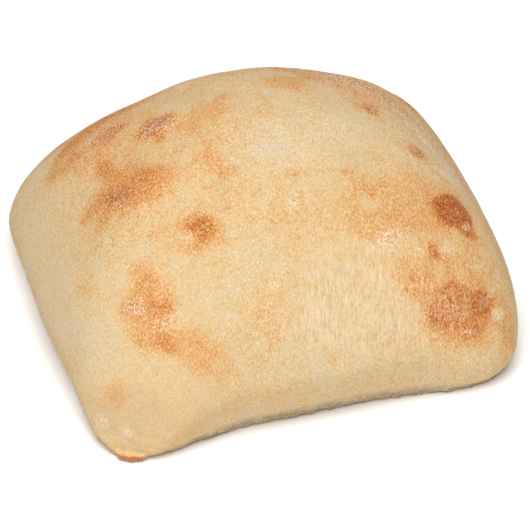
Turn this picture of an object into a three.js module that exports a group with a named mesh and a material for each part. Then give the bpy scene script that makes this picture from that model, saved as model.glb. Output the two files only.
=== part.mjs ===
// A baked ciabatta roll: one soft-cornered square of bread with a broad dome, low drawn-out corners
// and a flat base. Millimetres, +Z up. The origin is the middle of the outline, on the base plane;
// +X runs right along the front edge and +Y runs back.
import * as THREE from "three";
import { mergeVertices } from "three/addons/utils/BufferGeometryUtils.js";

// Driving dimensions, in millimetres
const HALF_WIDTH = 51; // middle of the roll to its side
const HALF_DEPTH = 45.5; // middle of the roll to its front
const CROWN_HEIGHT = 53; // base to the top of the dome
const RIM_HEIGHT = 13; // base to where the flank stands furthest out
const HEEL_TUCK = 7.8; // how far the flank draws in from the rim down to the base
const CROWN_DRIFT_X = 1; // the crown sits a little right of the middle
const CROWN_DRIFT_Y = 2; // and a little behind it

// Each corner: its direction in plan, how far the dough is drawn out there, and the share by which
// the rim is pinched down towards the base.
const CORNERS = [
  { degrees: -135, reach: 6.5, pinch: 0.85 }, // front left
  { degrees: -45, reach: 4.8, pinch: 0.54 }, // front right
  { degrees: 45, reach: 0, pinch: 0.27 }, // back right
  { degrees: 135, reach: 7.3, pinch: 0.58 }, // back left
];
const CORNER_SPREAD = 0.24; // radians either side of a corner's direction that it reaches
const HEEL_PINCH = 0.3; // share of the rim's pinch that the heel takes too

// Broad swellings and hollows of the crust: place in plan, radius and rise
const SWELLS = [
  { x: -37, y: 24, radius: 11, rise: 0.9 },
  { x: -20, y: 36, radius: 9, rise: -0.7 },
  { x: 35, y: 6, radius: 13, rise: 0.8 },
  { x: 28, y: -27, radius: 12, rise: 0.6 },
  { x: -22, y: -20, radius: 14, rise: -0.7 },
];

// Shape exponents
const RIM_SQUARENESS = 3.3; // superellipse exponent of the outline at the rim
const CROWN_SQUARENESS = 2; // it eases to an ellipse at the crown
const DOME_FULLNESS = 1.47; // exponent of the dome's fall from the crown to the rim

// Rows and columns of the skin
const COLUMNS = 96;
const DOME_ROWS = 26;
const HEEL_ROWS = 8;
const BASE_ROWS = 4;

const MERGE_DISTANCE = 1e-4;
const CRUST_COLOUR = 0xe2c394;

// Angle from one direction to another, wrapped to half a turn either way
function turnBetween(from, to) {
  return Math.atan2(Math.sin(to - from), Math.cos(to - from));
}

// A corner's weight in a direction: 1 on the corner, fading as a bell curve
function cornerWeight(corner, turn) {
  const away = turnBetween(THREE.MathUtils.degToRad(corner.degrees), turn);
  return Math.exp(-((away / CORNER_SPREAD) ** 2));
}

// Sum over the corners of one of their amounts, weighted by how near each corner is
function cornerSum(amount, turn) {
  return CORNERS.reduce((sum, corner) => sum + corner[amount] * cornerWeight(corner, turn), 0);
}

// Radius of the plan outline in a direction, at a share 0 to 1 of the way from the crown to the rim
function outlineRadius(turn, share) {
  const squareness = THREE.MathUtils.lerp(
    CROWN_SQUARENESS,
    RIM_SQUARENESS,
    THREE.MathUtils.smoothstep(share, 0, 1),
  );
  const across = Math.abs(Math.cos(turn) / HALF_WIDTH) ** squareness;
  const along = Math.abs(Math.sin(turn) / HALF_DEPTH) ** squareness;
  return (across + along) ** (-1 / squareness) + cornerSum("reach", turn) * share ** 2;
}

// Height of the rim in a direction, pinched down at the corners
function rimHeight(turn) {
  return RIM_HEIGHT * (1 - cornerSum("pinch", turn));
}

// How far the heel draws in under the rim in a direction
function heelTuck(turn) {
  return HEEL_TUCK * (1 - HEEL_PINCH * cornerSum("pinch", turn));
}

// Rise of the crust's broad swellings at a place in plan
function swellAt(x, y) {
  return SWELLS.reduce((sum, swell) => {
    const away = Math.hypot(x - swell.x, y - swell.y) / swell.radius;
    return sum + swell.rise * Math.exp(-(away ** 2));
  }, 0);
}

// Dome: the radius grows as a sine from the crown to the rim while the height falls from the crown
// to the pinched rim. The swellings fade to nothing at the rim.
function domePoint(turn, way, point) {
  const share = Math.sin((way * Math.PI) / 2);
  const lift = Math.max(1 - share ** 2, 0) ** (1 / DOME_FULLNESS);
  const radius = share * outlineRadius(turn, share);
  const rim = rimHeight(turn);
  point.x = radius * Math.cos(turn) + CROWN_DRIFT_X * lift;
  point.y = radius * Math.sin(turn) + CROWN_DRIFT_Y * lift;
  point.z = rim + (CROWN_HEIGHT - rim) * lift;
  point.z += swellAt(point.x, point.y) * Math.min(1, 2 * lift);
}

// Heel: a quarter ellipse from the rim in and down to the base
function heelPoint(turn, way, point) {
  const angle = ((1 - way) * Math.PI) / 2;
  const radius = outlineRadius(turn, 1) - heelTuck(turn) * (1 - Math.sin(angle));
  point.x = radius * Math.cos(turn);
  point.y = radius * Math.sin(turn);
  point.z = rimHeight(turn) * (1 - Math.cos(angle));
}

// Base: flat, from the foot of the heel in to the middle
function basePoint(turn, way, point) {
  const radius = (outlineRadius(turn, 1) - heelTuck(turn)) * (1 - way);
  point.x = radius * Math.cos(turn);
  point.y = radius * Math.sin(turn);
  point.z = 0;
}

// One closed skin: a sphere's rows and columns, with each vertex moved onto the dome, heel or base
function rollGeometry() {
  const rows = DOME_ROWS + HEEL_ROWS + BASE_ROWS;
  const sphere = new THREE.SphereGeometry(1, COLUMNS, rows);
  const position = sphere.getAttribute("position");
  const point = new THREE.Vector3();
  for (let index = 0; index < position.count; index++) {
    const column = index % (COLUMNS + 1);
    const row = Math.floor(index / (COLUMNS + 1));
    const turn = Math.PI + (2 * Math.PI * (column % COLUMNS)) / COLUMNS;
    if (row <= DOME_ROWS) {
      domePoint(turn, row / DOME_ROWS, point);
    } else if (row <= DOME_ROWS + HEEL_ROWS) {
      heelPoint(turn, (row - DOME_ROWS) / HEEL_ROWS, point);
    } else {
      basePoint(turn, (row - DOME_ROWS - HEEL_ROWS) / BASE_ROWS, point);
    }
    position.setXYZ(index, point.x, point.y, point.z);
  }
  sphere.deleteAttribute("normal");
  sphere.deleteAttribute("uv");
  const skin = mergeVertices(sphere, MERGE_DISTANCE);
  skin.computeBoundingBox();
  const middle = skin.boundingBox.getCenter(new THREE.Vector3());
  skin.translate(-middle.x, -middle.y, -skin.boundingBox.min.z);
  skin.computeVertexNormals();
  return skin;
}

const crust = new THREE.MeshStandardMaterial({
  color: CRUST_COLOUR,
  roughness: 0.85,
  metalness: 0,
});

const roll = new THREE.Mesh(rollGeometry(), crust);
roll.name = "ciabatta_roll";

const ciabatta = new THREE.Group();
ciabatta.add(roll);

export default ciabatta;
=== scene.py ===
"""A baked ciabatta roll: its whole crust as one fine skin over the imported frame, in a plain studio."""

import logging
from collections.abc import Sequence
from dataclasses import dataclass, field
from enum import Enum
from functools import partial, reduce
from itertools import product
from typing import Any

import bpy
import numpy as np
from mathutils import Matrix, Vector


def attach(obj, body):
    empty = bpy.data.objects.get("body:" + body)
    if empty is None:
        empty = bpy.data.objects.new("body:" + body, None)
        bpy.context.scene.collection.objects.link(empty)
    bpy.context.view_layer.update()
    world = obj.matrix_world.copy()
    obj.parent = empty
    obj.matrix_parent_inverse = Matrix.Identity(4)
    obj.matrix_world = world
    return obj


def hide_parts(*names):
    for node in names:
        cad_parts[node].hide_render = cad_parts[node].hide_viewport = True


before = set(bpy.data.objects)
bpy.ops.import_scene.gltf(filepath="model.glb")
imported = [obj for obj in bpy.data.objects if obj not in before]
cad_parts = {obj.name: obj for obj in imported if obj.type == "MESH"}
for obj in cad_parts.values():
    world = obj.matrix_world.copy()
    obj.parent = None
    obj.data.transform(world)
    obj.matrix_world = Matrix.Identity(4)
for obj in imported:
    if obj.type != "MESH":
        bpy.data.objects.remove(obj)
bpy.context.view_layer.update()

log = logging.getLogger("ciabatta")

MM = 0.001
MATH = "ShaderNodeMath"
Array = np.ndarray
Socket = bpy.types.NodeSocket
Span = tuple[float, float, float, float]  # the low and the high of a value, and what they become
Factor = Socket | float | tuple[Socket, Span]  # a value, or a value and the span that maps it


def linear(colour: str) -> tuple[float, float, float, float]:
    """Turns an sRGB hex colour into the linear values that a shader takes.

    Args:
        colour: six hex digits after a hash.

    Returns:
        Linear red, green, blue and an alpha of one.
    """
    share = np.array([int(colour[i : i + 2], 16) for i in (1, 3, 5)]) / 255
    flat = np.where(share <= 0.04045, share / 12.92, ((share + 0.055) / 1.055) ** 2.4)
    return (float(flat[0]), float(flat[1]), float(flat[2]), 1.0)


def ease(value: Array, low: float, high: float) -> Array:
    """Smooth step: 0 below low, 1 above high, and 3t^2 - 2t^3 between.

    Args:
        value: any array.
        low: where the step starts.
        high: where the step ends.

    Returns:
        The eased share, shaped as value.
    """
    share = np.clip((value - low) / (high - low), 0, 1)
    return share * share * (3 - 2 * share)


@dataclass(frozen=True)
class SoftNoise:
    """Smooth random lumps: random values on a cubic lattice, eased from corner to corner of each cell.

    spacing is the size of one lattice cell in millimetres, and reach is the largest value either way.
    """

    seed: int
    spacing: float
    reach: float = 1.0
    lattice_size: int = 32

    def at(self, points: Array) -> Array:
        """Reads the field at places in space.

        Args:
            points: places, with x, y and z last, in millimetres.

        Returns:
            Values from -reach to reach, one per place.
        """
        lattice = np.random.default_rng(self.seed).random((self.lattice_size,) * 3)
        cell = self._turned(points) / self.spacing
        low = np.floor(cell).astype(int)
        part = cell - low
        part = part * part * (3 - 2 * part)
        total = np.zeros(points.shape[:-1])
        for corner in product((0, 1), repeat=3):
            index = (low + corner) % self.lattice_size
            weight = np.where(np.array(corner) == 1, part, 1 - part).prod(-1)
            total += weight * lattice[index[..., 0], index[..., 1], index[..., 2]]
        return self.reach * (2 * total - 1)

    def _turned(self, points: Array) -> Array:
        """The places turned by a random rotation, so that no lattice lines up with the roll."""
        spin = np.random.default_rng(self.seed + 1).normal(size=(3, 3))
        return points @ np.linalg.qr(spin)[0]


class Layer(Enum):
    """What the crust's finish reads from the skin; each is stored as one value per vertex."""

    TOAST = "toast"  # how brown the skin baked, 0 for floury pale to 1 for dark brown
    DUST = "dust"  # grains of dusting flour that stuck
    DRAWN = "drawn"  # skin pulled into fine upright lines as the roll rose
    SOLE = "sole"  # the underside that lay on the oven deck
    # The heel band carries painted light: paler under the rim, and darker at its foot with flour and
    # painted shade.
    HEEL = "heel"  # the band just above the underside
    GRAIN = "grain"  # how strong the grain of the dried dough is, 1 for the usual, and coarser past that


@dataclass(frozen=True)
class Mark:
    """One ragged oval on the crust, laid on the skin where a plumb line at (x, y) meets the dome.

    Lengths are half axes in millimetres, and degrees turns the long one from the skin's own +X
    direction. level is the value that the mark pulls its layer to, rise how far it lifts the skin, and
    edge how far the oval's border fades, as a share of its size.
    """

    x: float
    y: float
    length: float
    width: float
    degrees: float
    level: float
    rise: float = 0.0
    edge: float = 0.5


@dataclass(frozen=True)
class Corner:
    """A corner of the roll: its direction in plan, how far it is drawn out, and how low it is pinched."""

    degrees: float
    reach: float
    pinch: float


@dataclass(frozen=True)
class Swell:
    """A broad swelling or hollow of the crust: its place in plan, radius and rise, in millimetres."""

    x: float
    y: float
    radius: float
    rise: float


@dataclass
class RollForm:
    """The roll's plain form in millimetres: dome, heel and flat base, as functions of direction and way."""

    half_width: float = 51.0
    half_depth: float = 45.5
    crown_height: float = 53.0
    rim_height: float = 13.0
    heel_tuck: float = 6.0
    heel_slope: float = 35.0  # degrees; how steeply the heel still falls where it meets the base
    heel_pinch: float = 0.6
    crown_drift: tuple[float, float] = (1.0, 2.0)
    corner_spread: float = 0.24
    rim_squareness: float = 3.3
    crown_squareness: float = 2.0
    dome_fullness: float = 1.47
    corners: tuple[Corner, ...] = (
        Corner(-135, 6.5, 0.85),
        Corner(-45, 5.0, 0.54),
        Corner(45, 0.0, 0.27),
        Corner(135, 7.3, 0.58),
    )
    swells: tuple[Swell, ...] = (
        Swell(-37, 24, 11, 0.9),
        Swell(-20, 36, 9, -0.7),
        Swell(35, 6, 13, 0.8),
        Swell(28, -27, 12, 0.6),
        Swell(-22, -20, 14, -0.7),
    )

    def corner_sum(self, amount: str, turn: Array) -> Array:
        """Sum over the corners of one amount, each weighted by a bell curve of the angle from it.

        Args:
            amount: the Corner field to add up.
            turn: directions in plan, in radians.

        Returns:
            The weighted sum for each direction.
        """
        total = np.zeros_like(turn)
        for corner in self.corners:
            away = np.angle(np.exp(1j * (turn - np.radians(corner.degrees))))
            total += getattr(corner, amount) * np.exp(-((away / self.corner_spread) ** 2))
        return total

    def outline(self, turn: Array, share: Array) -> Array:
        """Plan radius of a superellipse whose exponent eases from the crown's to the rim's.

        Args:
            turn: directions in plan, in radians.
            share: 0 at the crown to 1 at the rim.

        Returns:
            Radius in millimetres, with the corners drawn out by share squared.
        """
        power = self.crown_squareness + (self.rim_squareness - self.crown_squareness) * ease(share, 0, 1)
        across = np.abs(np.cos(turn) / self.half_width) ** power
        along = np.abs(np.sin(turn) / self.half_depth) ** power
        return (across + along) ** (-1 / power) + self.corner_sum("reach", turn) * share**2

    def rim(self, turn: Array) -> Array:
        """Height of the rim in each direction, pinched down at the corners."""
        return self.rim_height * (1 - self.corner_sum("pinch", turn))

    def tuck(self, turn: Array) -> Array:
        """How far the heel draws in under the rim in each direction."""
        return self.heel_tuck * (1 - self.heel_pinch * self.corner_sum("pinch", turn))

    def dome(self, turn: Array, way: Array) -> Array:
        """Dome: radius grows as the sine of the way while height falls as (1 - share^2)^(1 / fullness).

        Args:
            turn: directions in plan, in radians.
            way: 0 at the crown to 1 at the rim.

        Returns:
            Points, with x, y and z last.
        """
        share = np.sin(way * np.pi / 2)
        lift = np.maximum(1 - share**2, 0) ** (1 / self.dome_fullness)
        radius = share * self.outline(turn, share)
        x = radius * np.cos(turn) + self.crown_drift[0] * lift
        y = radius * np.sin(turn) + self.crown_drift[1] * lift
        z = self.rim(turn) + (self.crown_height - self.rim(turn)) * lift
        for swell in self.swells:
            away = np.hypot(x - swell.x, y - swell.y) / swell.radius
            z = z + swell.rise * np.exp(-(away**2)) * np.minimum(1, 2 * lift)
        return np.stack([x, y, z], -1)

    def heel(self, turn: Array, way: Array) -> Array:
        """Heel: the part of an ellipse from its upright end at the rim (way 0) down to the base (way 1).

        The ellipse's own angle runs from 90 degrees at the rim to heel_slope at the base. Its sine gives
        how far the heel is tucked in and its cosine how far it has come down.

        Args:
            turn: directions in plan, in radians.
            way: 0 at the rim to 1 at the base.

        Returns:
            Points, with x, y and z last.
        """
        end = np.radians(self.heel_slope)
        angle = np.pi / 2 + (end - np.pi / 2) * way
        inward = (1 - np.sin(angle)) / (1 - np.sin(end))
        radius = self.outline(turn, np.ones_like(turn)) - self.tuck(turn) * inward
        z = self.rim(turn) * (1 - np.cos(angle) / np.cos(end))
        return np.stack([radius * np.cos(turn), radius * np.sin(turn), z], -1)

    def base(self, turn: Array, way: Array) -> Array:
        """Base: flat, from the foot of the heel (way 0) straight in to the middle (way 1).

        Args:
            turn: directions in plan, in radians.
            way: 0 at the foot of the heel to 1 in the middle.

        Returns:
            Points, with x, y and z last.
        """
        radius = (self.outline(turn, np.ones_like(turn)) - self.tuck(turn)) * (1 - way)
        return np.stack([radius * np.cos(turn), radius * np.sin(turn), np.zeros_like(turn)], -1)


@dataclass(frozen=True)
class SquareGrid:
    """A square of rows and columns laid over a disc, so that the skin has no pole."""

    cells: int

    def parameters(self) -> tuple[Array, Array]:
        """The two grid parameters, each -1 to 1, at every grid point."""
        line = np.linspace(-1, 1, self.cells + 1)
        return tuple(np.meshgrid(line, line, indexing="ij"))

    def polar(self) -> tuple[Array, Array]:
        """Maps the square onto a disc, ring by square ring.

        Each square ring becomes a circle; the place along a side, as a share of its half length, becomes
        an angle of up to 45 degrees either way of that side's middle.

        Returns:
            Direction in radians and the ring's share, 0 in the middle to 1 at the border.
        """
        a, b = self.parameters()
        ring = np.maximum(np.abs(a), np.abs(b))
        safe = np.where(ring == 0, 1, ring)
        upright = np.abs(a) >= np.abs(b)
        side = np.where(upright, b * np.sign(a), a * np.sign(b)) / safe * np.pi / 4
        beside = side + np.where(a < 0, np.pi, 0)
        ahead = np.pi / 2 - side + np.where(b < 0, np.pi, 0)
        return np.where(upright, beside, ahead), ring

    def quads(self, index: Array) -> Array:
        """Corner indices of every cell, turning from the first parameter to the second."""
        corners = [index[:-1, :-1], index[1:, :-1], index[1:, 1:], index[:-1, 1:]]
        return np.stack(corners, -1).reshape(-1, 4)


# How the roll toasted, from broad zones to the blisters that lie on them, going round from the left.
BROAD_ZONES: tuple[Mark, ...] = (
    Mark(-26, -5, 23, 14, -17, 0.36),
    Mark(1, -25, 28, 8, -10, 0.33),
    Mark(26, -25, 15, 10, -5, 0.44),
    Mark(38, -32, 9, 7, 68, 0.48),
    Mark(46, -26, 12, 4, -86, 0.32),
    Mark(-29, -44, 13, 8, 11, 0.24),
    Mark(-49, -6, 25, 7, -89, 0.08),
    Mark(7, -42, 12, 11, -38, 0.19),
    Mark(8, -11, 11, 6, 6, 0.16),
    Mark(-22, 24, 22, 9, 30, 0.42),
    Mark(-31, -6, 11, 7, -22, 0.46, 0.0, 0.6),
    Mark(-21, -22, 5.5, 4.5, 0, 0.44, 0.0, 0.6),
    Mark(-33, -29, 7.5, 5.5, 70, 0.42, 0.0, 0.6),
    Mark(-27, -40, 8.5, 4.5, -38, 0.42, 0.0, 0.6),
    Mark(31, -40, 12.5, 9, -26, 0.47, 0.0, 0.6),
    Mark(8, 34, 36, 20, 0, 0.5),
    Mark(44, 16, 18, 12, 65, 0.38),
)
LEFT_SHOULDER: tuple[Mark, ...] = (
    Mark(-34, 17, 14, 7, -28, 0.53, 0.2),
    Mark(-30, 24, 15, 4, -14, 0.66, 0.2),
    Mark(-30, 15, 4.8, 2.4, -14, 0.7),
    Mark(-37, 17, 3, 1.5, -45, 0.6),
    Mark(-41, 19, 4, 2, -37, 0.55),
    Mark(-33, 5, 4.6, 2.6, -73, 0.64),
    Mark(-32, -6, 9.6, 5.6, -22, 0.63, 0.35),
    Mark(-33, -6, 4.4, 2.7, -33, 0.74),
    Mark(-27, -6, 3.6, 2.3, -19, 0.66),
    Mark(-39, -3, 3.4, 2.1, -16, 0.54),
    Mark(-26, 9, 4.2, 2.7, -60, 0.46),
    Mark(-21, 6, 5, 3.7, -8, 0.66, 0.3),
    Mark(-21, 6, 3.4, 2.4, -8, 0.82),
    Mark(-22, 2, 2.4, 1.3, 88, 0.64),
    Mark(-21, -23, 4.6, 3.6, 3, 0.62, 0.3),
    Mark(-20.5, -22.3, 3, 2.3, 25, 0.74),
    Mark(-23, -23, 1.8, 1.3, -39, 0.7),
)
CROWN: tuple[Mark, ...] = (
    Mark(-13, 2, 7.5, 4, 2, 0.5, 0.15),
    Mark(-7, 5, 4, 2.3, 45, 0.52),
    Mark(-18, -7, 3.2, 2.4, 0, 0.26),
    Mark(-13, -11, 4.6, 2.3, -89, 0.5),
    Mark(-12, -15, 2, 1.7, 0, 0.52),
    Mark(8, 8, 6, 4, -16, 0.5, 0.2),
    Mark(25, 8, 7, 5, 8, 0.42),
    Mark(0, -2, 3.2, 2.6, -14, 0.33),
    Mark(-2, -13, 4.6, 2, 0, 0.0),
    Mark(18, -2, 4.4, 3, 48, 0.05),
    Mark(2, -19, 2.6, 1.4, -9, 0.48),
    Mark(0, -25, 2.8, 1.7, -9, 0.4),
)
RIGHT_SHOULDER: tuple[Mark, ...] = (
    Mark(25, 9, 18, 5.5, -34, 0.56),
    Mark(29, 11, 15, 3, -36, 0.64),
    Mark(20, 9, 8, 3.6, -20, 0.54),
    Mark(42, -4, 11, 4, -68, 0.54),
    Mark(33, -16, 6, 4.3, -44, 0.33),
    Mark(24, 0, 6.5, 3.6, -20, 0.42),
    Mark(25, -1, 2.9, 2.2, 30, 0.74),
    Mark(31, -6, 7, 3, -52, 0.33),
    Mark(32, -11, 5, 3.2, -30, 0.46),
    Mark(32, -11, 3.1, 2.1, 8, 0.7),
    Mark(17, -31, 4.7, 2.7, -28, 0.57),
    Mark(16, -27, 6.6, 5.5, 45, 0.5),
    Mark(16, -26, 2, 1.7, 0, 0.28),
    Mark(26, -22, 7, 5.6, 17, 0.47, 0.2),
    Mark(20, -30, 7.2, 2.6, -2, 0.52),
    Mark(34, -24, 8, 6, 10, 0.54),
    Mark(35.6, -24.6, 5.4, 3.9, 8, 0.84, 0.4, 0.2),
    Mark(38, -25, 3.4, 1.4, -75, 1.0),
    Mark(33, -25, 3, 1.2, -60, 0.98),
    Mark(38, -27, 2.8, 1.4, -20, 0.72),
)
FRONT_RIGHT: tuple[Mark, ...] = (
    Mark(29.5, -34, 4, 2.4, -45, 0.56),
    Mark(28, -33, 2.2, 1.4, -72, 0.72),
    Mark(24, -37, 6.5, 4, -34, 0.52),
    Mark(24, -39, 4.6, 3, -30, 0.57),
    Mark(32, -41, 9.4, 6.4, -26, 0.6, 0.35, 0.6),
    Mark(32, -41, 6.8, 4.6, -26, 0.7, 0.0, 0.6),
    Mark(30, -39, 3.6, 2.1, -20, 0.74),
    Mark(37, -39, 3.4, 2.8, -24, 0.76),
    Mark(26, -42, 2.6, 1.9, -65, 0.73),
    Mark(34, -42, 3.2, 1.4, -25, 0.75),
    Mark(33, -41, 1.1, 0.7, -58, 0.6),
    Mark(43, -40, 6, 3.4, -84, 0.5),
    Mark(41, -39, 1.7, 1.3, 0, 0.2),
)
FRONT_LEFT: tuple[Mark, ...] = (
    Mark(-27, -21, 5.6, 3, -33, 0.44),
    Mark(-33, -25, 4.2, 2.8, -68, 0.54),
    Mark(-33, -30, 6, 4.6, 63, 0.52, 0.15),
    Mark(-32, -32, 2.4, 1.8, -19, 0.7),
    Mark(-37, -29, 2.4, 1.7, -40, 0.66),
    Mark(-34, -34, 5.6, 3.8, -34, 0.55, 0.15),
    Mark(-31, -38, 3.2, 1.9, -35, 0.68),
    Mark(-26, -41, 6, 3.4, -40, 0.5),
    Mark(-21, -43, 2.5, 1.7, 0, 0.35),
    Mark(-40, -43, 12, 8, 0, 0.33, 0.0, 0.7),
    Mark(-43, -38, 3.5, 2.7, 20, 0.5, 0.15),
    Mark(-44, -18, 3.9, 2.5, -46, 0.38),
    Mark(-42, -43, 1.3, 0.9, -38, 0.0, 0.35, 0.3),
    Mark(-9, -40, 6, 5, -35, 0.33),
    Mark(-12, -39, 2.1, 2.1, 0, 0.38),
    Mark(-7, -36, 1.9, 1.5, 0, 0.4),
)
BACK: tuple[Mark, ...] = (
    Mark(20, 30, 11, 6, 15, 0.56, 0.25),
    Mark(24, 31, 5, 3, -20, 0.74),
    Mark(16, 28, 3, 2, 30, 0.7),
    Mark(-13, 38, 8, 5, -20, 0.58, 0.3),
    Mark(-15, 38, 4, 2.6, 10, 0.78),
    Mark(40, 18, 6, 4, 60, 0.6, 0.25),
    Mark(42, 20, 3, 2, 50, 0.78),
    Mark(4, 36, 10, 5, 12, 0.3, 0.0, 0.8),
    Mark(-36, 32, 7, 4, -50, 0.5),
)
TOASTED = BROAD_ZONES + LEFT_SHOULDER + CROWN + RIGHT_SHOULDER + FRONT_RIGHT + FRONT_LEFT + BACK

# Where flour stuck in visible grains.
DUSTED: tuple[Mark, ...] = (
    Mark(2, -10, 13, 7, 0, 0.35),
    Mark(21, 8, 8, 4, 20, 0.5),
    Mark(27, 11, 15, 5, -36, 0.75),
    Mark(40, -3, 13, 6, -62, 0.85),
    Mark(30, -4, 8, 3.4, -56, 0.45),
    Mark(-30, 16, 6.5, 3.6, -14, 0.25),
    Mark(-33, -6, 5, 3, -33, 0.2),
    Mark(25, -1, 3, 2.4, 30, 0.4),
    Mark(33, -11, 6, 4.3, -44, 0.4),
    Mark(31, -33, 2, 1.2, -25, 0.9),
    Mark(30, -40, 2.2, 1.5, -20, 0.4),
    Mark(33, -43, 1.2, 0.8, -33, 0.8),
    Mark(41, -39, 1.5, 0.9, -20, 0.7),
    Mark(38, -26, 1.1, 0.7, 11, 0.9),
    Mark(18, -32, 4.2, 1.8, 15, 1.0),
    Mark(-21, 6, 4, 2.6, -8, 0.42),
    Mark(-23, -23, 1.8, 1.2, -45, 0.4),
    Mark(-21, -20, 0.7, 0.5, 0, 1.0),
    Mark(-36, -29, 2.6, 1.6, -20, 0.7),
    Mark(-30, -35, 3, 1.6, 10, 0.5),
    Mark(-46, -39, 1.6, 1.2, -60, 0.9),
    Mark(-7, -36, 2, 1.4, 0, 0.7),
    Mark(0, -25, 1.6, 1.4, 80, 0.8),
    Mark(-42, -43, 1.3, 0.9, -38, 0.6),
    Mark(2, 36, 14, 6, 8, 0.35),
    Mark(-2, 24, 32, 5, 4, 0.35),
    Mark(12, -42, 20, 10, 0, 0.3),
)
# Fine folds of the skin, sunk a little and filled with flour.
FOLDS: tuple[Mark, ...] = (
    Mark(31, 3, 4, 1.7, -20, 0.9, -0.2),
    Mark(34, -2, 4, 1.6, -52, 0.9, -0.2),
    Mark(36, -5, 2.4, 0.9, -39, 0.9, -0.2),
    Mark(30, -14, 2.8, 0.6, -68, 0.9, -0.15),
    Mark(33, -16, 3, 0.6, -40, 0.9, -0.15),
    Mark(37, -14.5, 4.4, 0.7, -26, 1.0, -0.2),
    Mark(37, -14, 3, 0.6, -11, 1.0, -0.15),
    Mark(40, -37, 2.6, 0.4, 40, 0.9, -0.1),
)
# Where the skin was drawn into lines.
DRAWN: tuple[Mark, ...] = (
    Mark(12, -40, 17, 12, 0, 1.0),
    Mark(30, -38, 12, 12, 0, 0.4),
)
# Painted shade: the lower skin at the front left corner takes the heel's dull colour.
PAINTED_SHADE_FRONT_LEFT: tuple[Mark, ...] = (Mark(-41, -42, 13, 10, 0, 0.52, 0.0, 0.8),)
# Where the grain of the dried dough is finer or coarser than usual.
GRAINED: tuple[Mark, ...] = (
    Mark(-48, -12, 26, 10, -89, 0.85),
    Mark(-31, -33, 15, 12, 0, 0.75),
    Mark(-38, -43, 17, 9, 0, 0.5),
    Mark(-28, 27, 24, 10, 0, 1.5),
    Mark(12, 20, 28, 12, -10, 1.8),
    Mark(40, 2, 22, 7, -60, 1.6),
    Mark(22, -33, 10, 3.5, -10, 1.6),
    Mark(32, -41, 11, 7.5, -26, 1.25),
    Mark(-32, -7, 12, 8, -22, 1.15),
    Mark(-33, -6, 6, 4, -33, 1.6),
    Mark(-21, 6, 7, 4.5, -8, 1.7),
    Mark(-33, -31, 8, 5, 63, 1.15),
)


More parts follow.
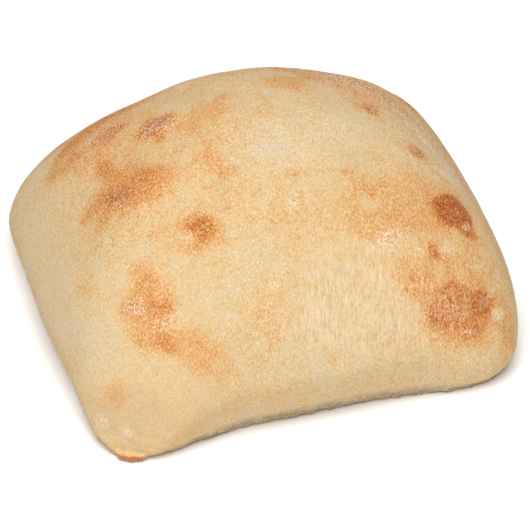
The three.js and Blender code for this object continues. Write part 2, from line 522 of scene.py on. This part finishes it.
@dataclass
class UpperSkin:
    """The crust above the base: a square grid of points, their outward normals and the marks on them."""

    form: RollForm
    grid: SquareGrid
    dome_share: float = 0.80  # share of the grid's rings that lie on the dome
    lip_share: float = 0.985  # from here out the rings lie flat on the base
    lip_way: float = 0.06  # how far in on the base this skin ends
    ground_toast: float = 0.2
    # The skin's soft noises. A name with from or to holds the heights, in millimetres, over which a
    # band of the skin begins or ends.
    torn_edge: tuple[SoftNoise, ...] = (
        SoftNoise(21, 5.0, 0.24),
        SoftNoise(22, 2.2, 0.12),
        SoftNoise(23, 1.1, 0.05),
    )
    lumps: tuple[SoftNoise, ...] = (
        SoftNoise(11, 21, 0.55),
        SoftNoise(12, 9, 0.26),
        SoftNoise(13, 3.6, 0.06),
        SoftNoise(14, 1.5, 0.02),
    )
    lumps_from: tuple[float, float] = (0.3, 4)
    blister_skin: SoftNoise = SoftNoise(15, 1.8, 0.25)
    heel_skin: tuple[SoftNoise, ...] = (SoftNoise(16, 2.4, 0.3), SoftNoise(17, 1.1, 0.26))
    heel_from: tuple[float, float] = (0, 0.8)
    heel_to: tuple[float, float] = (3, 9)
    hem_reach: float = 0.7
    hem_ragged: tuple[SoftNoise, ...] = (SoftNoise(18, 1.9, 0.55), SoftNoise(19, 0.9, 0.45))
    hem_to: tuple[float, float] = (0.3, 1.9)
    tab_reach: float = 1.2
    tab_to: tuple[float, float] = (1.9, 2.5)
    tab_toast: float = 0.76
    tab_degrees: float = -134.0
    tab_left: tuple[float, float] = (-0.045, -0.025)  # radians round from tab_degrees
    tab_right: tuple[float, float] = (0.052, 0.06)

    def __post_init__(self) -> None:
        """Lays out the plain skin, centred on its outline, and its normals."""
        self.turn, self.ring = self.grid.polar()
        plain = self._plain()
        low, high = plain.min((0, 1)), plain.max((0, 1))
        self.middle = np.array([(low[0] + high[0]) / 2, (low[1] + high[1]) / 2, 0])
        self.plain = plain - self.middle
        self.normals = self._normals()
        self.torn = self._noise_sum(self.torn_edge)

    def _noise_sum(self, noises: tuple[SoftNoise, ...]) -> Array:
        """Sum of soft noises at the plain skin's points."""
        return sum(noise.at(self.plain) for noise in noises)

    def _plain(self) -> Array:
        """Dome, heel and lip in turn, each over its own share of the rings.

        Returns:
            Points of the plain skin, in millimetres.
        """
        dome = self.form.dome(self.turn, np.clip(self.ring / self.dome_share, 0, 1))
        heel_way = (self.ring - self.dome_share) / (self.lip_share - self.dome_share)
        heel = self.form.heel(self.turn, np.clip(heel_way, 0, 1))
        lip_way = (self.ring - self.lip_share) / (1 - self.lip_share)
        lip = self.form.base(self.turn, np.clip(lip_way, 0, 1) * self.lip_way)
        on_dome = (self.ring <= self.dome_share)[..., None]
        on_heel = (self.ring <= self.lip_share)[..., None]
        return np.where(on_dome, dome, np.where(on_heel, heel, lip))

    def _normals(self) -> Array:
        """Unit cross product of the grid's two directions of change."""
        normal = np.cross(np.gradient(self.plain, axis=0), np.gradient(self.plain, axis=1))
        return normal / (np.linalg.norm(normal, axis=-1, keepdims=True) + 1e-12)

    def coverage(self, mark: Mark) -> Array:
        """How much of a mark lies on each point: 1 in its middle, easing to 0 past its ragged edge.

        The mark's middle is the skin point nearest to its (x, y) on the upper side. Distance is taken in
        the plane that touches the skin there, divided by the mark's half length and half width.

        Args:
            mark: the mark.

        Returns:
            A share from 0 to 1 for each point.
        """
        away = np.hypot(self.plain[..., 0] - mark.x, self.plain[..., 1] - mark.y)
        place = np.unravel_index(np.where(self.normals[..., 2] > 0.02, away, np.inf).argmin(), away.shape)
        normal = self.normals[place]
        first = np.array([1.0, 0, 0]) - normal * normal[0]
        first /= np.linalg.norm(first)
        offset = self.plain - self.plain[place]
        u, v, w = offset @ first, offset @ np.cross(normal, first), offset @ normal
        angle = np.radians(mark.degrees)
        along = (u * np.cos(angle) + v * np.sin(angle)) / mark.length
        across = (v * np.cos(angle) - u * np.sin(angle)) / mark.width
        deep = w / max(mark.length, mark.width)
        reach = np.sqrt(along**2 + across**2 + deep**2) + self.torn
        return 1 - ease(reach, 1 - mark.edge, 1 + mark.edge)

    def layer(self, marks: tuple[Mark, ...], ground: float) -> Array:
        """One layer of the crust: each mark in turn pulls it towards the mark's own level.

        Args:
            marks: the marks, lowest first.
            ground: the layer's value where no mark lies.

        Returns:
            The layer's value at each point.
        """
        value = np.full_like(self.ring, ground)
        for mark in marks:
            value += (mark.level - value) * self.coverage(mark)
        return value

    def raised(self) -> Array:
        """The skin with its lumps, blisters, ragged heel and squeezed-out foot.

        Soft noise at four spacings is added along the normals with each mark's own rise, and two finer
        noises roughen the heel. They fade out at the base, so that the roll stands flat, and the lip
        stays on the base plane.

        Returns:
            Points of the finished skin, in millimetres.
        """
        z = self.plain[..., 2]
        height = self._noise_sum(self.lumps) * ease(z, *self.lumps_from)
        rough = 1 - self.blister_skin.reach + self.blister_skin.at(self.plain)
        for mark in TOASTED + FOLDS:
            if mark.rise:
                height += mark.rise * self.coverage(mark) * rough
        heel_band = ease(z, *self.heel_from) * (1 - ease(z, *self.heel_to))
        height += heel_band * self._noise_sum(self.heel_skin)
        skin = self.plain + self.normals * height[..., None]
        skin += self._hem(z) + self._outward(self.tab_reach * self.tab())
        skin[..., 2] = np.where(self.ring > self.lip_share, 0, np.maximum(skin[..., 2], 0))
        return skin

    def _outward(self, distance: Array) -> Array:
        """Level steps away from the middle, one for each point."""
        out = np.stack([np.cos(self.turn), np.sin(self.turn), np.zeros_like(self.turn)], -1)
        return out * (distance * (1 - ease(self.ring, self.lip_share, 1)))[..., None]

    def _hem(self, z: Array) -> Array:
        """A thin ragged hem where the dough spread on the deck, stepping out by about hem_reach."""
        ragged = self._noise_sum(self.hem_ragged) * (1 - self.tab())
        return self._outward((self.hem_reach + ragged) * (1 - ease(z, *self.hem_to)))

    def tab(self) -> Array:
        """The little tab of dough that squeezed out under the front left corner.

        It is a step in the direction in plan times a step in height, each eased at its ends.

        Returns:
            How much of the tab lies on each point, 0 to 1.
        """
        away = np.angle(np.exp(1j * (self.turn - np.radians(self.tab_degrees))))
        along = ease(away, *self.tab_left) * (1 - ease(away, *self.tab_right))
        return along * (1 - ease(self.plain[..., 2], *self.tab_to))


@dataclass
class BakedRoll:
    """The whole roll: its upper skin and its underside, closed into one mesh with its finish."""

    form: RollForm = field(default_factory=RollForm)
    name: str = "roll_crust"
    cells: int = 264  # cells along a side of the upper grid; the underside has half as many
    dent_depth: float = 0.35
    dents: SoftNoise = SoftNoise(31, 7)
    dent_span: tuple[float, float] = (0, 0.8)
    pits: SoftNoise = SoftNoise(32, 2.4)
    pit_span: tuple[float, float] = (0.1, 0.9)
    dent_border: tuple[float, float] = (0.02, 0.12)  # shares of the way in from the border
    sole_tilt: tuple[float, float] = (-0.95, -0.6)  # the sole lies where the skin faces down this far
    sole_top: tuple[float, float] = (0, 0.5)  # or lower than this, in millimetres
    heel_top: tuple[float, float] = (0, 0.7)  # shares of the rim's height
    chart_edge: float = 0.004  # the map's border, as a share of its side
    chart_under_top: float = 0.24
    chart_upper_foot: float = 0.251

    def build(self, finish: "CrustFinish") -> bpy.types.Object:
        """Makes the roll and hands it to the frame.

        Args:
            finish: the crust's material.

        Returns:
            The finished object, riding on the root body.
        """
        self.upper = UpperSkin(self.form, SquareGrid(self.cells))
        self.under = SquareGrid(self.cells // 2)
        top_index = np.arange((self.cells + 1) ** 2).reshape(self.cells + 1, -1)
        under_index, inner = self._under_index(top_index)
        points = np.concatenate([self.upper.raised().reshape(-1, 3), self._underside()[inner]])
        top_faces = self.upper.grid.quads(top_index)
        mesh = bpy.data.meshes.new(self.name)
        under_faces = self._under_faces(under_index, top_index)
        mesh.from_pydata(points * MM, [], top_faces.tolist() + under_faces)
        mesh.shade_smooth()
        self._add_layers(mesh, int(inner.sum()))
        self._add_chart(mesh, inner, len(top_faces))
        mesh.materials.append(finish.build())
        roll = bpy.data.objects.new(self.name, mesh)
        bpy.context.scene.collection.objects.link(roll)
        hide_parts("ciabatta_roll")
        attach(roll, "root")
        return roll

    def _underside(self) -> Array:
        """The flat base, with shallow dents where steam lifted it off the deck.

        Two soft noises, each eased into separate hollows, are added and fade out at the border.

        Returns:
            Points of the underside's grid, in millimetres.
        """
        turn, ring = self.under.polar()
        flat = self.form.base(turn, 1 - (1 - self.upper.lip_way) * ring) - self.upper.middle
        dents = ease(self.dents.at(flat), *self.dent_span)
        dents += 0.5 * ease(self.pits.at(flat), *self.pit_span)
        flat[..., 2] = self.dent_depth * dents * ease(1 - ring, *self.dent_border)
        return flat

    def _under_index(self, top_index: Array) -> tuple[Array, Array]:
        """Numbers the underside's grid: its border is every other border point of the upper skin.

        Args:
            top_index: vertex numbers of the upper skin's grid.

        Returns:
            Vertex numbers of the underside's grid, and which of them are new points.
        """
        index = np.full((self.under.cells + 1,) * 2, -1)
        index[0], index[-1] = top_index[0, ::2], top_index[-1, ::2]
        index[:, 0], index[:, -1] = top_index[::2, 0], top_index[::2, -1]
        inner = index < 0
        index[inner] = top_index.size + np.arange(inner.sum())
        return index, inner

    def _under_faces(self, index: Array, top_index: Array) -> list[list[int]]:
        """The underside's cells facing down, whose border cells also take the upper skin's odd points.

        Args:
            index: vertex numbers of the underside's grid.
            top_index: vertex numbers of the upper skin's grid.

        Returns:
            One list of vertex numbers for each face.
        """
        ring = np.full((self.under.cells, self.under.cells, 8), -1)
        ring[..., 0::2] = self.under.quads(index).reshape(self.under.cells, self.under.cells, 4)
        ring[:, 0, 1], ring[-1, :, 3] = top_index[1::2, 0], top_index[-1, 1::2]
        ring[:, -1, 5], ring[0, :, 7] = top_index[1::2, -1], top_index[0, 1::2]
        return [[int(v) for v in cell[::-1] if v >= 0] for cell in ring.reshape(-1, 8)]

    def _add_layers(self, mesh: bpy.types.Mesh, inner_count: int) -> None:
        """Stores one value per vertex for each layer of the crust.

        Args:
            mesh: the roll's mesh.
            inner_count: how many points belong to the underside alone.
        """
        skin = self.upper
        z = skin.plain[..., 2]
        facing_down = 1 - ease(skin.normals[..., 2], *self.sole_tilt)
        under_rim = 1 - ease(z / self.form.rim(skin.turn), *self.heel_top)
        values = {
            Layer.TOAST: np.maximum(skin.layer(TOASTED, skin.ground_toast), skin.tab() * skin.tab_toast),
            Layer.DUST: skin.layer(DUSTED + FOLDS, 0.0),
            Layer.DRAWN: skin.layer(DRAWN, 0.0),
            Layer.SOLE: np.maximum(facing_down, 1 - ease(z, *self.sole_top)),
            # The heel band, with painted shade at the front left corner.
            Layer.HEEL: np.maximum(under_rim, skin.layer(PAINTED_SHADE_FRONT_LEFT, 0.0)),
            Layer.GRAIN: skin.layer(GRAINED, 1.0),
        }
        for kind, upper in values.items():
            inner = np.full(inner_count, 1.0 if kind is Layer.SOLE else 0.0)
            store = mesh.attributes.new(kind.value, "FLOAT", "POINT")
            store.data.foreach_set("value", np.concatenate([upper.ravel(), inner]).astype(np.float32))

    def _add_chart(self, mesh: bpy.types.Mesh, inner: Array, top_count: int) -> None:
        """Unfolds the grid onto the roll's own map: the upper skin's square above the underside's.

        Args:
            mesh: the roll's mesh.
            inner: which grid points of the underside are its own.
            top_count: how many faces belong to the upper skin.
        """
        top = np.stack(self.upper.grid.parameters(), -1).reshape(-1, 2)
        own = np.stack(self.under.parameters(), -1)[inner]
        square = np.concatenate([top, own]) / 2 + 0.5
        vertex = np.empty(len(mesh.loops), dtype=np.int32)
        mesh.loops.foreach_get("vertex_index", vertex)
        is_top = (np.arange(len(vertex)) < 4 * top_count)[:, None]
        edge, foot = self.chart_edge, self.chart_upper_foot
        upper_chart = square[vertex] * [1 - 2 * edge, 1 - edge - foot] + [edge, foot]
        under_chart = square[vertex] * [1 - 2 * edge, self.chart_under_top - edge] + [edge, edge]
        chart = mesh.uv_layers.new(name="OFBake")
        places = np.where(is_top, upper_chart, under_chart).astype(np.float32)
        chart.uv.foreach_set("vector", places.ravel())


def add_node(
    tree: bpy.types.NodeTree,
    kind: str,
    inputs: Sequence[Any] | dict[str | int, Any],
    output: str | int = 0,
    **settings: Any,
) -> Socket | None:
    """Adds a node, sets its properties, and fills its inputs.

    Args:
        tree: the material's or world's node tree.
        kind: the node's type.
        inputs: values or other nodes' outputs, for its first inputs in turn, or by name or number.
        output: name or number of the output that is handed back.
        settings: the node's own properties.

    Returns:
        That output, or None from a node that ends the tree.
    """
    node = tree.nodes.new(kind)
    for name, value in settings.items():
        setattr(node, name, value)
    for key, value in inputs.items() if isinstance(inputs, dict) else enumerate(inputs):
        if isinstance(value, Socket):
            tree.links.new(value, node.inputs[key])
        else:
            node.inputs[key].default_value = value
    return node.outputs[output] if node.outputs else None


@dataclass(frozen=True)
class CrustFinish:
    """Thin wheat-bread crust, baked on a deck and dusted with flour.

    Toasting runs the skin from floury straw through gold and amber to brown. A fine grain of dried
    dough stands out more the browner the skin is, with a painted highlight on its tops and painted
    shade in its pits, and flour lies on it as small pale grains. The heel is painted paler under the
    rim and darker along its lowest strip, which flour from the deck also dulls, and the underside is
    toasted tan with patches of flour from the deck. A span holds the low and the high of a value, and
    then what they become.
    """

    name: str = "baked_wheat_crust"
    toasts: tuple[tuple[float, str], ...] = (
        (0.00, "#D2BB9A"),
        (0.13, "#D4BA8F"),
        (0.26, "#D4B585"),
        (0.38, "#D4AE79"),
        (0.49, "#D3A167"),
        (0.61, "#CC8844"),
        (0.73, "#BB6D27"),
        (0.85, "#AC5816"),
    )
    flour: str = "#DFCDB2"
    bloom: str = "#E2C799"  # flour so thin that the skin under it warms it
    # The heel's lowest strip: flour from the deck, darkened as painted shade.
    heel: str = "#A4937A"
    sole: str = "#AE8050"
    sole_pale: str = "#CDB48C"
    # The dough's own grain is near 0.1 mm, too fine to show, so it is drawn as coarse as it needs to show.
    grain_mm: float = 0.26
    coarse_mm: float = 0.42
    fibre_mm: float = 0.42
    flour_mm: float = 0.9  # flour lies in small clumps, since single grains are too fine to show
    line_mm: float = 1.0
    clot_mm: float = 1.1
    mottle_mm: float = 2.6
    cloud_mm: float = 9.0
    noise_span: Span = (0.3, 0.7, 0, 1)
    grain_squash: tuple[float, float, float] = (1, 0.55, 0.45)
    drawn_stretch: tuple[float, float, float] = (1, 4.5, 4.5)
    drawn_degrees: float = -14.0  # how far the fibres lean from straight up and back
    fibre_share: float = 0.6
    coarse_by_layer: Span = (1, 2, 0, 1)
    # How toast varies, and how strongly the grain shows.
    calm_by_toast: Span = (0.25, 0.6, 1, 0.2)
    calm_by_grain: Span = (0, 1, 0, 1)
    cloud_reach: float = 0.08
    mottle_reach: float = 0.13
    clot_reach: float = 0.13
    line_shift: Span = (0.2, 0.8, 0.08, -0.05)
    grain_shift: Span = (0, 1, 0.04, -0.04)
    contrast_by_toast: Span = (0.1, 0.7, 0.64, 1.15)
    contrast_by_heel: Span = (0.6, 0.9, 1, 1.8)
    # The heel, painted paler, its lowest strip of flour and painted shade, and the sole.
    heel_by_toast: Span = (0.5, 0.8, 1, 0)
    heel_painted_paling: float = 0.4
    strip_by_heel: Span = (0.4, 0.85, 0, 1)
    strip_by_clot: Span = (0, 1, 0.5, 1)
    patch_by_cloud: Span = (0.35, 0.9, 0, 0.75)
    patch_by_clot: Span = (0, 0.8, 0.3, 1)
    # Flour: bloom, streaks, veil and crumbs, and the grain's pale tops, partly flour and partly painted
    # highlight.
    bloom_by_toast: Span = (0.3, 0.6, 0, 0.5)
    bloom_by_clot: Span = (0.3, 1, 0, 0.4)
    bloom_on_brown: Span = (0.45, 0.8, 1, 0.35)
    streak_by_line: Span = (0.5, 0.9, 0, 0.55)
    streak_on_brown: Span = (0.45, 0.8, 1, 0.6)
    veil_by_grain: Span = (0.3, 0.8, 0.05, 0.8)
    crumbs_of_dust: float = 0.7
    crumbs_of_mottle: float = 0.4
    crumb_span: Span = (0.3, 0.9, 0, 1)
    crumb_shape: Span = (0.15, 0.5, 0.85, 0)
    tops_flour_and_highlight_by_grain: Span = (0.4, 1, 0, 0.22)
    # Painted highlights and painted shade on the grain, then roughness and relief.
    painted_grain_light: Span = (0, 1, -0.17, 0.17)
    roughness: Span = (0.4, 0.9, 0.85, 0.55)
    relief_mm: float = 0.1
    relief_of_grain: float = 0.6
    relief_of_clot: float = 0.3
    relief_of_line: float = 1.6

    def build(self) -> bpy.types.Material:
        """Makes the material.

        Returns:
            The crust's material, with colour, roughness and bump all worked out by nodes.
        """
        material = bpy.data.materials.new(self.name)
        material.use_nodes = True
        material.node_tree.nodes.clear()
        CrustShading(self, material.node_tree).join()
        return material


class CrustShading:
    """How the crust's patterns and the roll's layers make its colour, roughness and relief."""

    def __init__(self, finish: CrustFinish, tree: bpy.types.NodeTree) -> None:
        """Reads the roll's layers and lays out the patterns.

        Args:
            finish: the crust's colours and sizes.
            tree: the material's empty node tree.
        """
        self.finish = finish
        self.add = partial(add_node, tree)
        self.place = self.add("ShaderNodeTexCoord", (), "Object")
        self.layers = {
            kind: self.add("ShaderNodeAttribute", (), "Fac", attribute_name=kind.value) for kind in Layer
        }
        lean = (0, 0, np.radians(finish.drawn_degrees))
        way = {"Vector": self.place, "Rotation": lean, "Scale": finish.drawn_stretch}
        drawn = self.add("ShaderNodeMapping", way, vector_type="TEXTURE")
        self.clot = self._noise(self.place, finish.clot_mm)
        self.mottle = self._noise(self.place, finish.mottle_mm)
        self.cloud = self._noise(self.place, finish.cloud_mm)
        self.line = self._noise(drawn, finish.line_mm)
        self.grain = self._grain(drawn)

    def join(self) -> None:
        """Works out the surface step by step and joins it to the material's output."""
        toast, contrast = self._toast()
        surface = {
            "Base Color": self._painted_grain_light(self._floured(self._baked(toast), toast, contrast), contrast),
            "Roughness": self._share((toast, self.finish.roughness)),
            "Normal": self._relief(),
            "IOR": 1.45,
            "Specular IOR Level": 0.15,
        }
        shader = self.add("ShaderNodeBsdfPrincipled", surface)
        self.add("ShaderNodeOutputMaterial", {"Surface": shader})

    def _noise(self, place: Socket, size_mm: float) -> Socket:
        """Soft noise with lumps of a real size, its middle values spread out to fill 0 to 1."""
        settings = {"Vector": place, "Scale": 1 / (size_mm * MM), "Detail": 2.0, "Roughness": 0.55}
        return self._share((self.add("ShaderNodeTexNoise", settings), self.finish.noise_span))

    def _share(self, *factors: Factor) -> Socket:
        """Product of factors.

        Args:
            factors: each a value, or a value with the span that maps it first.

        Returns:
            The product.
        """
        shares = [
            self.add("ShaderNodeMapRange", (factor[0], *factor[1])) if isinstance(factor, tuple) else factor
            for factor in factors
        ]
        return reduce(lambda one, other: self.add(MATH, (one, other), operation="MULTIPLY"), shares)

    def _covered(self, skin: Socket, *covers: tuple[Socket, Any]) -> Socket:
        """Lays covers over a colour.

        Args:
            skin: the colour under them.
            covers: the share and the colour of each, lowest first.

        Returns:
            The colour that is seen.
        """
        for share, colour in covers:
            skin = self.add("ShaderNodeMix", {0: share, 6: skin, 7: colour}, 2, data_type="RGBA")
        return skin

    def _grain(self, drawn: Socket) -> Socket:
        """Grain of the dried dough: fine, then coarse as its layer rises, then fibres where it was drawn.

        Args:
            drawn: places stretched along the way in which the skin was drawn.

        Returns:
            The grain, 0 in its pits to 1 on its tops.
        """
        upright = {"Vector": self.place, "Scale": self.finish.grain_squash}
        fine = self._noise(self.add("ShaderNodeMapping", upright), self.finish.grain_mm)
        coarse = self._noise(self.place, self.finish.coarse_mm)
        share = self._share((self.layers[Layer.GRAIN], self.finish.coarse_by_layer))
        grain = self.add("ShaderNodeMix", {0: share, 2: fine, 3: coarse})
        fibre = self._noise(drawn, self.finish.fibre_mm)
        share = self._share(self.layers[Layer.DRAWN], self.finish.fibre_share)
        return self.add("ShaderNodeMix", {0: share, 2: grain, 3: fibre})

    def _toast(self) -> tuple[Socket, Socket]:
        """How brown each place is: its layer, shifted by clouds, mottles, clots, lines and grain.

        All the shifts but the grain's are calmed where the skin is brown, and the grain's makes its pits
        browner than its tops.

        Returns:
            The toast, and how strongly the grain shows.
        """
        finish, layers = self.finish, self.layers
        toast = layers[Layer.TOAST]
        calm = self._share((toast, finish.calm_by_toast), (layers[Layer.GRAIN], finish.calm_by_grain))
        reaches = (finish.cloud_reach, finish.mottle_reach, finish.clot_reach)
        for pattern, reach in zip((self.cloud, self.mottle, self.clot), reaches):
            shift = self._share(calm, (pattern, (0, 1, -reach, reach)))
            toast = self.add(MATH, (toast, shift), operation="ADD")
        shift = self._share(calm, layers[Layer.DRAWN], (self.line, finish.line_shift))
        toast = self.add(MATH, (toast, shift), operation="ADD")
        contrast = self._share(
            (toast, finish.contrast_by_toast),
            layers[Layer.GRAIN],
            (layers[Layer.HEEL], finish.contrast_by_heel),
        )
        shift = self._share(contrast, (self.grain, finish.grain_shift))
        return self.add(MATH, (toast, shift), operation="ADD"), contrast

    def _baked(self, toast: Socket) -> Socket:
        """Colour of the bare skin: the run of toasts, with the heel and the sole laid over it.

        The heel is painted pale under the rim, and dull along its lowest strip with flour and painted
        shade.

        Args:
            toast: how brown each place is.

        Returns:
            The colour.
        """
        finish = self.finish
        skin = self.add("ShaderNodeValToRGB", (toast,))
        stops = skin.node.color_ramp.elements
        stops.remove(stops[1])
        stops[0].position, stops[0].color = finish.toasts[0][0], linear(finish.toasts[0][1])
        for place, colour in finish.toasts[1:]:
            stops.new(place).color = linear(colour)
        # The heel is painted paler, standing in for light under the rim, and its lowest strip is dulled
        # with flour from the deck and with painted shade.
        heel = self._share(self.layers[Layer.HEEL], (toast, finish.heel_by_toast))
        # Painted light: the heel is lifted towards the palest toast.
        heel_painted_light = self._share(heel, finish.heel_painted_paling)
        # The lowest strip: flour from the deck, and painted shade.
        flour_and_shade_strip = self._share((heel, finish.strip_by_heel), (self.clot, finish.strip_by_clot))
        # The sole is mottled, and flour from the deck stuck to it in patches.
        mottled = self._share(self.add(MATH, (self.clot, self.mottle), operation="ADD"), 0.5)
        tans = {0: mottled, 6: linear(finish.sole), 7: linear(finish.sole_pale)}
        sole = self.add("ShaderNodeMix", tans, 2, data_type="RGBA")
        patches = self._share((self.cloud, finish.patch_by_cloud), (self.clot, finish.patch_by_clot))
        sole = self._covered(sole, (patches, linear(finish.flour)))
        return self._covered(
            skin,
            (heel_painted_light, linear(finish.toasts[0][1])),
            (flour_and_shade_strip, linear(finish.heel)),
            (self.layers[Layer.SOLE], sole),
        )

    def _floured(self, skin: Socket, toast: Socket, contrast: Socket) -> Socket:
        """Flour on the skin: bloom, streaks, a veil on the grain and crumbs, with pale tops partly flour,
        partly painted highlight.

        Args:
            skin: the bare skin's colour.
            toast: how brown each place is.
            contrast: how strongly the grain shows.

        Returns:
            The floured skin's colour.
        """
        finish, dust = self.finish, self.layers[Layer.DUST]
        bloom = self._share(
            (toast, finish.bloom_by_toast),
            (self.clot, finish.bloom_by_clot),
            (toast, finish.bloom_on_brown),
        )
        streaks = self._share(
            self.layers[Layer.DRAWN],
            (self.line, finish.streak_by_line),
            (toast, finish.streak_on_brown),
        )
        veil = self._share(dust, (self.grain, finish.veil_by_grain))
        where = {"Vector": self.place, "Scale": 1 / (finish.flour_mm * MM)}
        clumps = self.add("ShaderNodeTexVoronoi", where, "Distance")
        patchy = self._share(self.mottle, finish.crumbs_of_mottle)
        dusty = self.add(MATH, (dust, finish.crumbs_of_dust, patchy), operation="MULTIPLY_ADD")
        crumbs = self._share((dusty, finish.crumb_span), (clumps, finish.crumb_shape))
        # Pale tops of the grain: partly flour, partly a painted highlight.
        tops = self._share(contrast, (self.grain, finish.tops_flour_and_highlight_by_grain))
        skin = self._covered(skin, (bloom, linear(finish.bloom)), (streaks, linear(finish.bloom)))
        return self._covered(skin, *((cover, linear(finish.flour)) for cover in (veil, crumbs, tops)))

    def _painted_grain_light(self, skin: Socket, contrast: Socket) -> Socket:
        """Skin with a painted highlight on its grain's tops and painted shade in its pits.

        The painted light is added in step with the square root of the colour, which keeps both highlight
        and shade greyer than the skin.

        Args:
            skin: the floured skin's colour.
            contrast: how strongly the grain shows.

        Returns:
            The finished colour.
        """
        # Painted highlight on the grain's tops and painted shade in its pits, added to the colour.
        light = self._share(contrast, (self.grain, self.finish.painted_grain_light))
        grey = self.add("ShaderNodeGamma", (skin, 0.5))
        return self.add("ShaderNodeVectorMath", (grey, light, skin), operation="MULTIPLY_ADD")

    def _relief(self) -> Socket:
        """Relief too fine to model: the grain, the clots and the drawn lines, each times its share.

        Returns:
            The bumped normal.
        """
        height = self._share(self.layers[Layer.DRAWN], self.line, self.finish.relief_of_line)
        parts = ((self.grain, self.finish.relief_of_grain), (self.clot, self.finish.relief_of_clot))
        for pattern, share in parts:
            height = self.add(MATH, (pattern, share, height), operation="MULTIPLY_ADD")
        bump = {"Strength": 1.0, "Distance": self.finish.relief_mm * MM, "Height": height}
        return self.add("ShaderNodeBump", bump)


@dataclass(frozen=True)
class PaleFloorFinish:
    """Matt white laminate board: a smooth sheet with the faintest mottle."""

    name: str = "white_laminate"
    white: str = "#FFFFFF"
    off_white: str = "#FBFBFA"
    mottle_mm: float = 83.3

    def build(self) -> bpy.types.Material:
        """Makes the material.

        Returns:
            The sheet's material.
        """
        material = bpy.data.materials.new(self.name)
        material.use_nodes = True
        tree = material.node_tree
        tree.nodes.clear()
        place = add_node(tree, "ShaderNodeTexCoord", (), "Object")
        mottle = add_node(tree, "ShaderNodeTexNoise", {"Vector": place, "Scale": 1 / (self.mottle_mm * MM)})
        whites = {0: mottle, 6: linear(self.white), 7: linear(self.off_white)}
        colour = add_node(tree, "ShaderNodeMix", whites, 2, data_type="RGBA")
        shader = add_node(tree, "ShaderNodeBsdfPrincipled", {"Base Color": colour, "Roughness": 0.9})
        add_node(tree, "ShaderNodeOutputMaterial", {"Surface": shader})
        return material


@dataclass(frozen=True)
class SoftLamp:
    """A far, broad lamp that shines on the roll from an azimuth and an elevation, in degrees."""

    name: str
    azimuth: float
    elevation: float
    strength: float
    breadth: float = 50.0


def direction(azimuth: float, elevation: float) -> Vector:
    """Unit direction from the roll towards a place round it.

    Args:
        azimuth: degrees round from the front, positive to the right.
        elevation: degrees above the floor.

    Returns:
        The direction, where azimuth 0 is straight in front.
    """
    a, e = np.radians([azimuth, elevation])
    return Vector((np.sin(a) * np.cos(e), -np.cos(a) * np.cos(e), np.sin(e)))


@dataclass
class Studio:
    """A pale floor, soft lamps, an even sky and the camera."""

    floor_size: float = 4.0
    sky: float = 0.06  # its strength as a light
    seen_sky: float = 0.9  # its strength to the eye
    lamps: tuple[SoftLamp, ...] = (SoftLamp("key", -28, 70, 3.53), SoftLamp("fill", -5, 20, 0.45))
    camera_azimuth: float = -17.0
    camera_elevation: float = 37.0
    camera_distance: float = 0.70
    camera_lens: float = 216.7
    aim: tuple[float, float, float] = (-0.0005, -0.005, 0.0137)

    def build(self) -> None:
        """Makes the floor, the lamps, the sky and the camera."""
        self._floor()
        for lamp in self.lamps:
            self._lamp(lamp)
        self._sky()
        self._camera()

    def _floor(self) -> None:
        """One flat sheet under the roll."""
        half = self.floor_size / 2
        corners = [(-half, -half, 0), (half, -half, 0), (half, half, 0), (-half, half, 0)]
        mesh = bpy.data.meshes.new("floor")
        mesh.from_pydata(corners, [], [(0, 1, 2, 3)])
        mesh.materials.append(PaleFloorFinish().build())
        floor = bpy.data.objects.new("floor", mesh)
        bpy.context.scene.collection.objects.link(floor)

    def _lamp(self, lamp: SoftLamp) -> None:
        """Hangs one broad lamp, facing the roll.

        Args:
            lamp: the lamp.
        """
        light = bpy.data.lights.new(lamp.name, "SUN")
        light.energy = lamp.strength
        light.angle = np.radians(lamp.breadth)
        holder = bpy.data.objects.new(lamp.name, light)
        holder.rotation_euler = direction(lamp.azimuth, lamp.elevation).to_track_quat("Z", "Y").to_euler()
        bpy.context.scene.collection.objects.link(holder)

    def _sky(self) -> None:
        """An even surround, faint as a light and pale where the eye meets it past the floor's far edge."""
        world = bpy.data.worlds.new("surround")
        world.use_nodes = True
        world.node_tree.nodes.clear()
        add = partial(add_node, world.node_tree)
        seen = add("ShaderNodeLightPath", (), "Is Camera Ray")
        strength = add("ShaderNodeMix", {0: seen, 2: self.sky, 3: self.seen_sky})
        light = add("ShaderNodeBackground", {"Color": (1, 1, 1, 1), "Strength": strength})
        add("ShaderNodeOutputWorld", {"Surface": light})
        bpy.context.scene.world = world

    def _camera(self) -> None:
        """A long lens, front left and above."""
        camera = bpy.data.objects.new("camera", bpy.data.cameras.new("camera"))
        camera.data.lens = self.camera_lens
        camera.data.sensor_width = 36.0
        camera.data.clip_end = 20.0
        towards = direction(self.camera_azimuth, self.camera_elevation)
        camera.location = Vector(self.aim) + towards * self.camera_distance
        camera.rotation_euler = towards.to_track_quat("Z", "Y").to_euler()
        bpy.context.scene.collection.objects.link(camera)
        bpy.context.scene.camera = camera
        bpy.context.scene.view_settings.view_transform = "Standard"


def main() -> None:
    """Builds the studio and the roll, and reports the piece."""
    logging.basicConfig(level=logging.INFO, format="%(name)s: %(message)s")
    Studio().build()
    roll = BakedRoll().build(CrustFinish())
    log.info("%s: %d faces, material %s", roll.name, len(roll.data.polygons), roll.data.materials[0].name)


if __name__ == "__main__":
    main()
